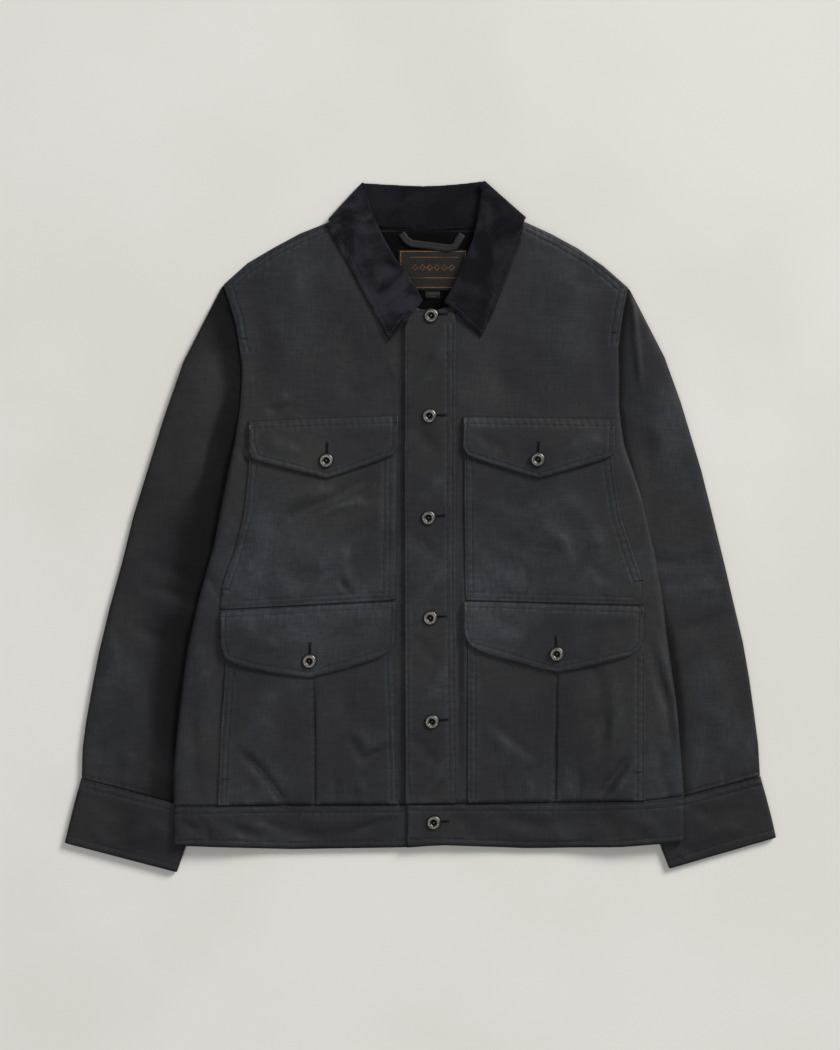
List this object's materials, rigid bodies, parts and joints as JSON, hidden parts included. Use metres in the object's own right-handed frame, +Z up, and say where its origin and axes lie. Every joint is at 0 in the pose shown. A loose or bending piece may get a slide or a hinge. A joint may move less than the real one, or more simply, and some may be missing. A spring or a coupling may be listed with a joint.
{
  "type": "waxed cotton jacket",
  "caption": "Men's waxed cotton jacket with a corduroy collar, patch pockets with buttoned flaps and a waistband, buttoned up and laid flat on its back.",
  "frame": {"origin": "bottom centre of the jacket's box, on the surface it lies on", "axes": "+X toward the wearer's left sleeve, +Y toward the collar, +Z up from the surface"},
  "size_m": [0.798, 0.776, 0.023],
  "materials": {
    "cloth": "waxed cotton, dark slate grey with a soft dull sheen and blotchy wax",
    "corduroy": "fine-wale cotton corduroy, navy black, matte pile",
    "lining": "dark cotton lining, matte",
    "label": "woven label, dark olive grey with orange thread",
    "button_metal": "pressed gunmetal cap button, worn bright on its rim"
  },
  "bodies": {
    "root": {"back_panel": "cloth", "placket": "cloth", "waistband": "cloth", "hanger_loop": "cloth", "collar": "corduroy", "neck_facing": "lining", "neck_label": "label", "size_tab": "label", "front_right": "cloth", "sleeve_right": "cloth", "cuff_right": "cloth", "chest_patch_right": "cloth", "chest_flap_right": "cloth", "lower_patch_right": "cloth", "lower_flap_right": "cloth", "button_chest_right": "button_metal", "button_lower_right": "button_metal", "front_left": "cloth", "sleeve_left": "cloth", "cuff_left": "cloth", "chest_patch_left": "cloth", "chest_flap_left": "cloth", "lower_patch_left": "cloth", "lower_flap_left": "cloth", "button_chest_left": "button_metal", "button_lower_left": "button_metal", "button_front_1": "button_metal", "button_front_2": "button_metal", "button_front_3": "button_metal", "button_front_4": "button_metal", "button_front_5": "button_metal", "button_front_6": "button_metal"}
  },
  "joints": []
}
